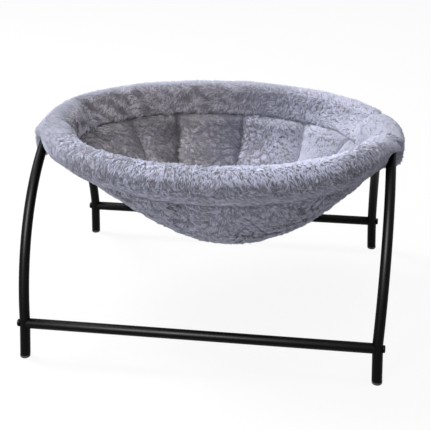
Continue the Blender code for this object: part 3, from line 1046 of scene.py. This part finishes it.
def tuftMesh(points, shape):
    count = len(points)
    loops = np.array([corner for face in shape["faces"] for corner in face])
    sizes = np.array([len(face) for face in shape["faces"]])
    tufts = bpy.data.meshes.new("tufts")
    tufts.vertices.add(count * 7)
    tufts.vertices.foreach_set("co", points.ravel())
    tufts.loops.add(count * len(loops))
    tufts.loops.foreach_set("vertex_index", (loops[None] + 7 * np.arange(count)[:, None]).ravel())
    tufts.polygons.add(count * len(sizes))
    starts = np.concatenate([[0], np.cumsum(np.tile(sizes, count))[:-1]])
    tufts.polygons.foreach_set("loop_start", starts)
    # each tuft has its own small cell in the upper part of the map
    height = 1 - mapSplit
    cells = int(np.ceil(np.sqrt(count / height)))
    column, row = np.arange(count) % cells, np.arange(count) // cells
    maps = (np.stack([column, row], -1)[:, None] + np.array(shape["cell"])[None, :]) / cells
    maps[..., 1] = mapSplit + maps[..., 1] * height / max((row.max() + 1) / cells, height)
    tufts.uv_layers.new(name="OFBake").data.foreach_set("uv", maps[:, loops].ravel())
    return tufts


def growPile(piece, seed, keep, comb, shadeOf, shape):
    # covers a piece with curved tufts; keep says where, comb says which way and how flat they lie
    draw = np.random.default_rng(seed)

    def weights(middle, facing):
        seam = ease(np.abs(aboveSeam(middle)) / shape["bare"])
        return keep(middle, facing) * clearOfLegs(middle) * seam

    def clumpCount(area):
        return int(area / shape["clump"] ** 2)

    def tuftCount(area):
        return int(area * shape["perMetre"])

    corners, spots, normals = surfaceOf(piece)
    centres = scatterOn(corners, spots, normals, weights, clumpCount, draw)[0]
    clumps = Clumps(centres, shape["clump"], shape["partWidth"])
    _, _, calm, parting = comb(spots, normals)
    sink = shape["sink"] * (1 - clumps.find(spots)[2]) * parting * (1 - calm)
    spots = spots - normals * (sink * keep(spots, normals))[:, None]
    piece.data.vertices.foreach_set("co", spots.ravel())
    piece.data.update()
    roots, up, valueAt = scatterOn(*surfaceOf(piece), weights, tuftCount, draw)
    count, many = len(roots), len(centres)
    own, pull, edge = clumps.find(roots)
    lie, flat, calm, parting = comb(roots, up)
    stir = (1 - shape["calmStir"] * calm)[:, None]
    turn = draw.normal(0, shape["clumpTurn"], (many, 3))[own]
    swirl = drift(roots, shape["swirlSize"], seed + shape["swirlSeed"]) * shape["swirl"]
    lie = unit(lie) + (swirl + turn) * stir
    lie = lie + unit(pull) * shape["clumpPull"] * stir + draw.normal(0, shape["scatter"], (count, 3))
    lie = unit(lie - up * np.sum(lie * up, 1, keepdims=True))
    tall = draw.uniform(*shape["clumpLengths"], many)[own] * draw.uniform(*shape["lengths"], count)
    patch = drift(roots, shape["patchSize"], seed + shape["patchSeed"])[:, 0]
    patch = ease(0.5 + shape["patchEdge"] * patch)
    gap = (1 - edge) * parting * (1 - calm) * (1 - shape["patchShare"] * (1 - patch))
    line = 1 - ease(np.abs(aboveSeam(roots)) / shape["seamWidth"])
    line = line * fade(outward(roots, up), shape["seamSide"])
    length = shape["length"] * between(tall, 1, calm) * (1 - shape["partingShort"] * gap)
    upright, short = shape["flatLengths"]
    length = length * (upright - short * flat) * (1 - shape["seamShort"] * line)
    width = shape["width"] * draw.uniform(*shape["widths"], count)
    lean = flat * draw.uniform(*shape["leans"], count)
    hook = draw.normal(0, shape["hook"], count)
    tufts = tuftMesh(tuftPoints(roots, up, lie, length, width, lean, hook, shape), shape)
    # painted shade: tufts in a parting stay nearer the dark root colour; calm places are lifted towards
    # the tip colour
    depth = np.array(shape["levels"])[None] * (1 - gap)[:, None]
    depth = depth + (shape["calmPile"] - depth) * shape["calmDepth"] * calm[:, None]
    noise = shape["clumpTone"] * draw.uniform(-1, 1, many)[own]
    noise = noise + shape["ownTone"] * draw.uniform(-1, 1, count)
    # each part's painted light and shade, and the lining's painted channel shade
    light, shaded, paintedLight = shadeOf(roots, up)
    if "shade" in piece.data.attributes:
        light = light + valueAt(readAll(piece.data.attributes["shade"].data, "value", 1)[:, 0])
    # painted shade: partings and the seam's groove are painted darker
    tone = 0.5 + light + noise * (1 - shape["calmEven"] * calm) - shape["partingTone"] * gap
    tone = tone - shape["calmTone"] * calm - shape["seamTone"] * line
    addMark(tufts, "pile", depth + (1 - depth) * paintedLight[:, None])
    addMark(tufts, "tone", np.repeat(tone, 7))
    addMark(tufts, "shaded", np.repeat(shaded, 7))
    soften = between(shape["soften"], shape["calmSoften"], calm)
    nap = tufts.attributes.new("nap", "FLOAT_VECTOR", "POINT")
    nap.data.foreach_set("vector", np.repeat(up * (soften / (1 - soften))[:, None], 7, axis=0).ravel())
    tufts.update(calc_edges=True)
    tufts.validate()
    print(piece.name, "tufts:", count)
    return tufts


# the skin under the tufts stays near the root colour with some painted brown shade: a painted shade under
# the pile
skinMarks = {"pile": 0.25, "tone": 0.5, "shaded": 0.3}


def joinPile(piece, tufts):
    mesh = piece.data
    for name, value in skinMarks.items():
        addMark(mesh, name, np.full(len(mesh.vertices), value))
    nap = mesh.attributes.new("nap", "FLOAT_VECTOR", "POINT")
    nap.data.foreach_set("vector", normalsOf(mesh).ravel())
    layer = mesh.uv_layers[0].data
    layer.foreach_set("uv", (readAll(layer, "uv", 2) * (1, mapSplit - 0.01)).ravel())
    hair = bpy.data.objects.new("tufts", tufts)
    bpy.context.scene.collection.objects.link(hair)
    activate(piece)
    hair.select_set(True)
    bpy.ops.object.join()
    bpy.ops.object.shade_smooth()
    # the pile is shaded partly as the skin under it, which makes it soft
    mesh = piece.data
    naps = readAll(mesh.attributes["nap"].data, "vector")
    mesh.normals_split_custom_set_from_vertices(unit(naps + normalsOf(mesh)))
    mesh.attributes.remove(mesh.attributes["nap"])


# Each comb gives the way that the nap lies, how flat, how calm, and how deep the partings are.
# Each shade gives how much lighter the pile is painted, how far in a painted brown shade, and a painted
# highlight.

rimEdges = {
    "front": (0.0, 0.06),
    "facingIn": (0.42, 0.34),
    "facingOut": (0.0, 0.3),
    "facingUp": (0.1, 0.5),
    "sides": (0.0, 0.05),
    "inner": (0.04, 0.04),
    "band": (0.007, 0.008),
    "lip": (-0.1, 0.4),
    "lipLeft": (0.14, 0.04),
    "lipMiddle": (-0.15, 0.12),
    "lipRight": (0.0, 0.1),
    "lipEnd": (0.13, 0.04),
    "right": (0.05, 0.08),
    "shaded": (-0.06, 0.1),
    "left": (0.14, 0.05),
    "corner": (0.15, 0.03),
    "dots": (0.7, 0.35),
    "dotsLeft": (0.1, 0.04),
    "join": (0.0, 0.005),
    "rightEnd": (0.17, 0.02),
    "paleLeft": (0.03, 0.08),
}
rimComb = {
    "sidesFrom": 0.12,
    "rightFront": 0.045,
    "leftFront": 0.015,
    "outwards": 0.7,
    "along": 0.25,
    "down": 0.55,
    "rear": (0.8, 0.55),
    "sides": 0.88,
    "innerRough": 0.75,
    "bandCalm": 0.55,
    "bandTurn": 0.75,
    "flat": (0.88, 0.04, 0.12),
    "parting": (0.6, 0.2),
}
# amounts of the rims' painted light and shade
rimShade = {
    "lipParts": (0.45, 0.55, 0.35),
    "lipEnd": 0.65,
    "mottle": (0.018, 5),   # size and seed of a drift
    "dotDrift": (0.012, 8),
    "joinDrift": (0.012, 9),
    "joinParts": (0.7, 0.4),
    "lip": 0.59,
    "right": 0.14,
    "rightEnd": 0.10,
    "left": 0.22,
    "shaded": (0.26, 0.42),
    "corner": 0.20,
    "dots": 0.5,
    "join": 0.34,
    "brown": 0.85,
    "paleLip": 0.60,
    "paleShaded": 0.34,
    "paleCorner": 0.16,
    "paleRight": 0.55,
}
ovalSquash = (1, 1.25, 0)


def outward(spots, up):
    # how far a face looks away from the basket: 1 right out, -1 right in
    return np.sum(unit(spots * ovalSquash) * up, 1)


def rimSides(roots, up):
    # the share of the front half, and of the side that looks into the basket
    forward = fade(-roots[:, 1], rimEdges["front"])
    return forward, fade(-outward(roots, up), rimEdges["facingIn"])


def combRim(roots, up):
    # outwards and down, fluffed up on the front lip, brushed flat and smooth at the sides
    edges, comb, x = rimEdges, rimComb, roots[:, 0]
    forward, inward = rimSides(roots, up)
    out = unit(roots * ovalSquash)
    reach = comb["sidesFrom"] + forward * np.where(x > 0, comb["rightFront"], comb["leftFront"])
    sides = fade(np.abs(x) - reach, edges["sides"])
    lip = fade(up[:, 2], edges["facingUp"]) * forward * (1 - sides)
    along = np.stack([-out[:, 1], out[:, 0], 0 * sides], -1)
    lie = out * comb["outwards"] + along * comb["along"] - np.array([0, 0, comb["down"]])
    rear = fade(roots[:, 1], edges["front"]) * (comb["rear"][0] - comb["rear"][1] * inward)
    inner = inward * fade(-x, edges["inner"]) * (1 - forward)
    calm = np.maximum(comb["sides"] * sides, rear) * (1 - comb["innerRough"] * inner)
    band = (1 - fade(aboveSeam(roots), edges["band"])) * fade(outward(roots, up), edges["facingOut"])
    band = band * forward
    calm = np.maximum(calm, comb["bandCalm"] * band)
    turn = (comb["bandTurn"] * band)[:, None]
    lie = unit(lie) * (1 - turn) + along * turn
    flat, lipFlat, sideFlat = comb["flat"]
    flat = flat + lipFlat * lip + sideFlat * np.maximum(sides, band)
    return lie, flat, calm, comb["parting"][0] + comb["parting"][1] * lip


def shadeRim(roots, up):
    # painted light and shade: the lip is painted paler; the inner side of the rear half lies in a painted
    # brown shade
    edges, shade, x = rimEdges, rimShade, roots[:, 0]
    forward, inward = rimSides(roots, up)
    # painted highlight: the lip's upward faces are lighter, less at the left and at the right end
    lip = fade(up[:, 2], edges["lip"]) * forward * (1 - fade(-x, edges["lipLeft"]))
    base, middle, right = shade["lipParts"]
    lip = lip * (base + middle * fade(x, edges["lipMiddle"]) + right * fade(x, edges["lipRight"]))
    lip = lip * (1 - shade["lipEnd"] * fade(x, edges["lipEnd"]))
    # painted light: the right side of the rear half is lighter
    right = fade(x, edges["right"]) * (1 - forward)
    # painted brown shade on the inner side of the rear half, from the middle leftwards, lifted and
    # mottled
    shaded = fade(-x, edges["shaded"]) * (1 - forward) * inward
    mottle = drift(roots, *shade["mottle"])[:, 0] * shaded
    # painted shade: the upward faces at the far left are darker
    left = fade(-x, edges["left"]) * fade(up[:, 2], edges["facingUp"])
    # painted light: the far left inner corner is lighter
    corner = fade(-x, edges["corner"]) * shaded
    # random dark spots, part of the painted shade at the left
    dots = fade(drift(roots, *shade["dotDrift"])[:, 1], edges["dots"])
    dots = dots * fade(-x, edges["dotsLeft"]) * shaded
    # painted shadow along the crease where the right lobe meets the rear sleeve
    join = np.abs(angleOf(roots) - angleAt(1, plan["lobeRear"])) * plan["meanHalfWidth"]
    steady, uneven = shade["joinParts"]
    join = (1 - fade(join, edges["join"])) * (steady + uneven * drift(roots, *shade["joinDrift"])[:, 1])
    # painted shade: the far right end of the rear half is darker
    rightEnd = fade(x, edges["rightEnd"]) * (1 - forward)
    light = shade["lip"] * lip + shade["right"] * right - shade["rightEnd"] * rightEnd
    light = light - shade["left"] * left
    light = light + (shade["shaded"][0] + shade["shaded"][1] * mottle) * shaded + shade["corner"] * corner
    # painted highlight: the lip, the shaded left, the corner and the right are lifted towards the tip
    # colour
    pale = shade["paleLip"] * lip + shade["paleShaded"] * shaded * fade(-x, edges["paleLeft"])
    pale = pale + shade["paleCorner"] * corner + shade["paleRight"] * right
    return light - shade["dots"] * dots - shade["join"] * join, shade["brown"] * shaded, pale


liningLook = {
    # the first entries set the lining's painted light and shade, the last four its comb
    "left": (-0.02, 0.07),
    "far": (0.09, 0.05),
    "right": (0.03, 0.08),
    "drift": (0.024, 6),
    "mottle": 0.14,
    "leftTone": 0.02,
    "farTone": 0.05,
    "rightTone": 0.10,
    "tone": 0.02,
    "brown": 0.9,
    "paintedLight": 0.55,
    "way": (0.35, 0, -0.6),
    "flat": (0.84, 0.12),
    "calm": 0.9,
    "parting": 0.5,
}
bowlLook = {
    # the first three set the bowl's painted shade, the rest its comb
    "left": (0.0, 0.08),
    "tone": 0.08,
    "leftTone": 0.07,
    "way": 0.55,
    "turn": 2,
    "down": 0.5,
    "flat": 0.9,
    "parting": 0.95,
}


def shadeLining(roots, _):
    # painted light and shade: the left lies in a painted brown shade, mottled, at a darker tone, the far
    # left darker still;
    look, x = liningLook, roots[:, 0]
    left, right = fade(-x, look["left"]), fade(x, look["right"])
    mottle = drift(roots, *look["drift"])[:, 0] * left
    light = look["mottle"] * mottle - look["leftTone"] * left - look["farTone"] * fade(-x, look["far"])
    # the right is painted paler towards the tip colour at a slightly darker tone, and all is a little
    # darker
    return light - look["rightTone"] * right - look["tone"], look["brown"] * left, look["paintedLight"] * right


def combLining(roots, _):
    look, right = liningLook, fade(roots[:, 0], liningLook["right"])
    flat = look["flat"][0] + look["flat"][1] * right
    return np.tile(look["way"], (len(roots), 1)), flat, look["calm"] * right, look["parting"] + 0 * right


def shadeBowl(roots, _):
    # painted shade: the outer bowl is painted darker, more so to its left
    left = fade(-roots[:, 0], bowlLook["left"])
    return -bowlLook["tone"] - bowlLook["leftTone"] * left, 0 * left, 0 * left


def combBowl(roots, _):
    # sideways and down, as the shell was brushed
    look, none = bowlLook, 0 * roots[:, 0]
    way = np.stack([look["way"] - look["turn"] * roots[:, 0], none, none - look["down"]], -1)
    return way, look["flat"] + none, none, look["parting"] + none


def everywhere(middle, _):
    return np.ones(len(middle))


def makeRoll(kind, side, start, finish, columns):
    length = abs(finish - start) * (plan["meanHalfWidth"] + plan["meanHalfDepth"]) / 2

    def place(along, across):
        angle = start + (finish - start) * along
        return rollPlace(kind, side, angle, across % 1.0, along * length, (1 - along) * length)

    roll = clothGrid(columns, rollShape["rows"], place, True)
    addSmooth(roll)
    roughen(roll, (rollShape["lumpSize"], rollShape["lumps"][kind]), rollShape["crinkles"])
    partRoundLegs(roll)
    return roll


def addSmooth(piece):
    smooth = piece.modifiers.new("smooth", "SUBSURF")
    smooth.levels = smooth.render_levels = 1


def bowlPlace(angle, fall, depth, swell=0.0):
    # fall runs from the seam to the floor; depth is measured into the wall
    level = fall * (2 - fall)
    top = seamAt(angle) + outOf(angle) * (plan["wall"] / 2 - depth - swell)[:, None]
    taper = plan["sideTaper"] - plan["bottomFill"] * fall
    taper = taper + plan["leftTaper"] * np.clip(-np.cos(angle), 0, 1)
    wide = (1 - fall) ** (taper + plan["rightTaper"] * np.clip(np.cos(angle), 0, 1))
    deep = np.sqrt(np.clip(1 - level ** plan["depthProfile"], 0, 1))
    shift = plan["bowlShift"] * (1 - (1 - level) ** 2)
    high = top[:, 2] - plan["seamGap"]
    height = high - (high - plan["floorHeight"] - depth - swell) * level
    return np.stack([top[:, 0] * wide + shift, top[:, 1] * deep, height], -1)


liningShape = {
    "creases": (28, 57, 85, 112, 135, 162, 194, 226, 258, 292, 326, 358),
    "crown": 0.0145,
    "rise": 0.08,
    "end": 0.97,
    "sharp": 0.5,
    "upright": 1.75,
    "bend": 2.6,
    "narrow": (0.1, 0.5),   # the least width that the spread and the lean reckon with
    "endPower": 4,
    # painted light and shade: a tone for each channel, then the rear channels' painted shade towards
    # their right ends and the creases' painted shadow
    "tones": (0.16, 0.19, 0.08, -0.20, -0.22, -0.14, 0.02, 0.04, 0.06, 0.09, 0.12, 0.15),
    "rearChannels": 6,
    "rampBelow": 0.2,
    "ramp": 0.30,
    "creaseWidth": 0.2,
    "creasePower": 1.5,
    "creaseTone": 0.44,
    "paleFrom": 0.15,
    "paleCrease": 0.4,
}


def channelSpots(along, fall):
    # columns follow the creases, which run down the long walls nearly upright
    creases = np.radians(liningShape["creases"] + (liningShape["creases"][0] + 360,))
    seamAngle = np.interp(along * plan["channels"], np.arange(plan["channels"] + 1), creases)
    level = fall * (2 - fall)
    wide = (1 - fall) ** plan["sideTaper"]
    spreadLeast, leanLeast = liningShape["narrow"]
    spread = np.minimum(1 / np.maximum(wide, spreadLeast), liningShape["upright"])
    lean = plan["bowlShift"] * (1 - (1 - level) ** 2)
    lean = lean / (plan["seamRearHalfWidth"] * np.maximum(wide, leanLeast))
    across = np.cos(seamAngle)
    bent = 1 + (spread - 1) * np.abs(across) ** liningShape["bend"]
    across = spread * across / bent - lean * (1 - across ** 2)
    across = np.clip(across, -1, 1)
    return np.arctan2(np.sign(np.sin(seamAngle)) * np.sqrt(1 - across ** 2), across)


def channelShade(along):
    # each channel has its own painted light or shade; the rear ones darken towards their right end
    # as a painted shade, and all darken in their creases, a painted shadow, less in the paler channels
    shape = liningShape
    channel = along * plan["channels"] + 0.5
    nearest = np.abs(np.sin(pi * (channel - 0.5)))
    crease = np.clip(1 - nearest / shape["creaseWidth"], 0, 1) ** shape["creasePower"]
    own = np.floor(channel - 0.5).astype(int) % plan["channels"]
    part = (channel - 0.5) % 1.0
    tones = np.array(shape["tones"])[own]
    ramp = shape["ramp"] * (0.5 - part) * (own < shape["rearChannels"])
    depth = shape["creaseTone"] * crease * np.where(tones < shape["paleFrom"], 1, shape["paleCrease"])
    return tones - ramp * (tones < shape["rampBelow"]) - depth


def channelSwell(along, fall):
    level = fall * (2 - fall)
    across = np.abs(np.sin(pi * along * plan["channels"])) ** liningShape["sharp"]
    rise = np.sqrt(np.minimum(level / liningShape["rise"], 1))
    end = np.clip(1 - (level / liningShape["end"]) ** liningShape["endPower"], 0, 1)
    return liningShape["crown"] * across * rise * end


shellShape = {
    "tuck": 0.0020,
    "reach": 0.05,
    "lining": {"depth": plan["wall"] - plan["pile"], "thickness": 0.003, "columns": 192, "rows": 32},
    "wadding": {"depth": 0.0062, "thickness": 0.0026, "columns": 90, "rows": 24, "lowered": 0.03},
    "outer": {"depth": plan["pile"], "thickness": 0.0018, "columns": 168, "rows": 32},
    "liningLumps": ((0.03, 0.004), (0.008, 0.0014)),
    "outerLumps": ((0.034, 0.0026), (0.009, 0.0012)),
    "liningSeed": 11,
    "outerSeed": 12,
    "middle": (0.012, 0, 0),
    "facing": (0.02, 0.002),   # how far a face looks down and outwards where tufts start
}


def makeShell(depth, thickness, columns, rows, lowered=0.0, quilted=False):
    # a closed shell: its showing side is placed, the other side is solidified
    def place(along, across):
        angle = channelSpots(along, across) if quilted else 2 * pi * along
        swell = channelSwell(along, across) if quilted else 0 * angle
        tuck = shellShape["tuck"] * (1 - ease(across / shellShape["reach"]))
        fall = lowered + (1 - lowered) * across
        return bowlPlace(angle, fall, depth - tuck if quilted else depth + tuck, swell)

    shell = clothGrid(columns, rows, place, False, channelShade if quilted else None)
    wall = shell.modifiers.new("wall", "SOLIDIFY")
    wall.thickness = thickness
    wall.offset = -1
    addSmooth(shell)
    total = sum(face.normal.z * face.area for face in shell.data.polygons)
    if (total > 0) != quilted:   # the lining looks into the bowl, the others out of it
        activate(shell)
        setMode("EDIT")
        bpy.ops.mesh.select_all(action="SELECT")
        bpy.ops.mesh.flip_normals()
        setMode("OBJECT")
    return shell


def sideOf(way):
    # the side of a shell that looks out of the bowl for 1, into it for -1
    down, out = shellShape["facing"]

    def keep(middle, facing):
        lean = middle * (1, 1, 0) - np.array(shellShape["middle"])
        return ((-way * facing[:, 2] > down) | (way * np.sum(facing * lean, 1) > out)).astype(float)

    return keep


def buildBowl():
    lining = makeShell(**shellShape["lining"], quilted=True)
    roughen(lining, *shellShape["liningLumps"])
    tufts = growPile(lining, shellShape["liningSeed"], sideOf(-1), combLining, shadeLining, liningTufts)
    joinPile(lining, tufts)
    finishPiece(lining, "quilted_lining_plush", ["inner_lining"], "plush")
    wadding = makeShell(**shellShape["wadding"])
    applyModifiers(wadding)
    finishPiece(wadding, "bowl_wadding_sheet", ["bowl_wadding"], "felt")
    outer = makeShell(**shellShape["outer"])
    roughen(outer, *shellShape["outerLumps"])
    tufts = growPile(outer, shellShape["outerSeed"], sideOf(1), combBowl, shadeBowl, bowlTufts)
    joinPile(outer, tufts)
    finishPiece(outer, "outer_bowl_plush", ["outer_bowl"], "plush")
    print("bowl made")


def buildPadding():
    gap = plan["gap"] / plan["meanHalfDepth"] / 2
    rightFront, rightRear = angleAt(1, plan["lobeFront"]), angleAt(1, plan["lobeRear"])
    leftStart, leftEnd = angleAt(-1, plan["lobeRear"]), angleAt(-1, plan["lobeFront"])
    rolls = (
        ("right_side_lobe", "lobe", 1, rightFront + gap, rightRear - gap, 20),
        ("rear_rim_sleeve", "rear", 1, rightRear + gap, leftStart - gap, 130),
        ("left_side_lobe", "lobe", -1, leftStart + gap, leftEnd - gap, 20),
        ("front_rim_sleeve", "front", 1, leftEnd + gap, 2 * pi + rightFront - gap, 150),
    )
    for seed, (node, kind, side, start, finish, columns) in enumerate(rolls):
        roll = makeRoll(kind, side, start, finish, columns)
        joinPile(roll, growPile(roll, seed, everywhere, combRim, shadeRim, rimTufts))
        finishPiece(roll, node + "_plush", [node], "plush")
        print(node, "made:", len(roll.data.polygons), "faces")


def seenDirectly(tree):
    # whether a ray comes from the camera, also by way of a gloss or through glass
    path = tree.nodes.new("ShaderNodeLightPath")
    camera, glossy, transmission = (Wire(tree, path.outputs[place]) for place in (0, 3, 6))
    seen = camera.maths("MAXIMUM", camera, glossy)
    return seen.maths("MAXIMUM", seen, transmission)


def makeStudio():
    selectNothing()
    bpy.ops.mesh.primitive_circle_add(vertices=studio["floorSides"], radius=studio["floorRadius"],
                                      fill_type="NGON", location=(0, 0, -studio["floorDrop"]))
    floor = bpy.context.object
    floor.name = "studioFloor"
    pale = Finish("paleFloor", {"Roughness": studio["floorRoughness"]})
    seen = seenDirectly(pale.tree)
    pale.drive("Base Color", pale.mixColours(seen, *studio["floorColours"]))
    glow = pale.add("Emission", inputs={"Color": (1, 1, 1), "Strength": 1.0})
    floorShade = pale.add("MixShader", inputs={
        0: seen * studio["floorGlow"], 1: Wire(pale.tree, pale.shader.outputs[0]), 2: glow})
    pale.tree.links.new(floorShade.socket, pale.tree.nodes["Material Output"].inputs[0])
    floor.data.materials.append(pale.material)
    world = bpy.data.worlds.new("studioWorld")
    bpy.context.scene.world = world
    world.use_nodes = True
    sky = world.node_tree.nodes["Background"]
    sky.inputs[0].default_value = (1, 1, 1, 1)
    dim = studio["worldStrength"]
    strength = seenDirectly(world.node_tree) * (1 - dim) + dim
    world.node_tree.links.new(strength.socket, sky.inputs[1])
    for name, place, width, height, power, glint in studio["lamps"]:
        bpy.ops.object.light_add(type="AREA", location=place)
        lamp = bpy.context.object
        lamp.name = name
        lamp.data.shape = "RECTANGLE"
        lamp.data.size = width
        lamp.data.size_y = height
        lamp.data.energy = power
        lamp.visible_diffuse = not glint
        aimAt(lamp, studio["lampTarget"])
    bpy.context.scene.view_settings.view_transform = "Standard"
    print("studio made")


makeCamera()
buildStand()
buildPadding()
buildBowl()
makeStudio()
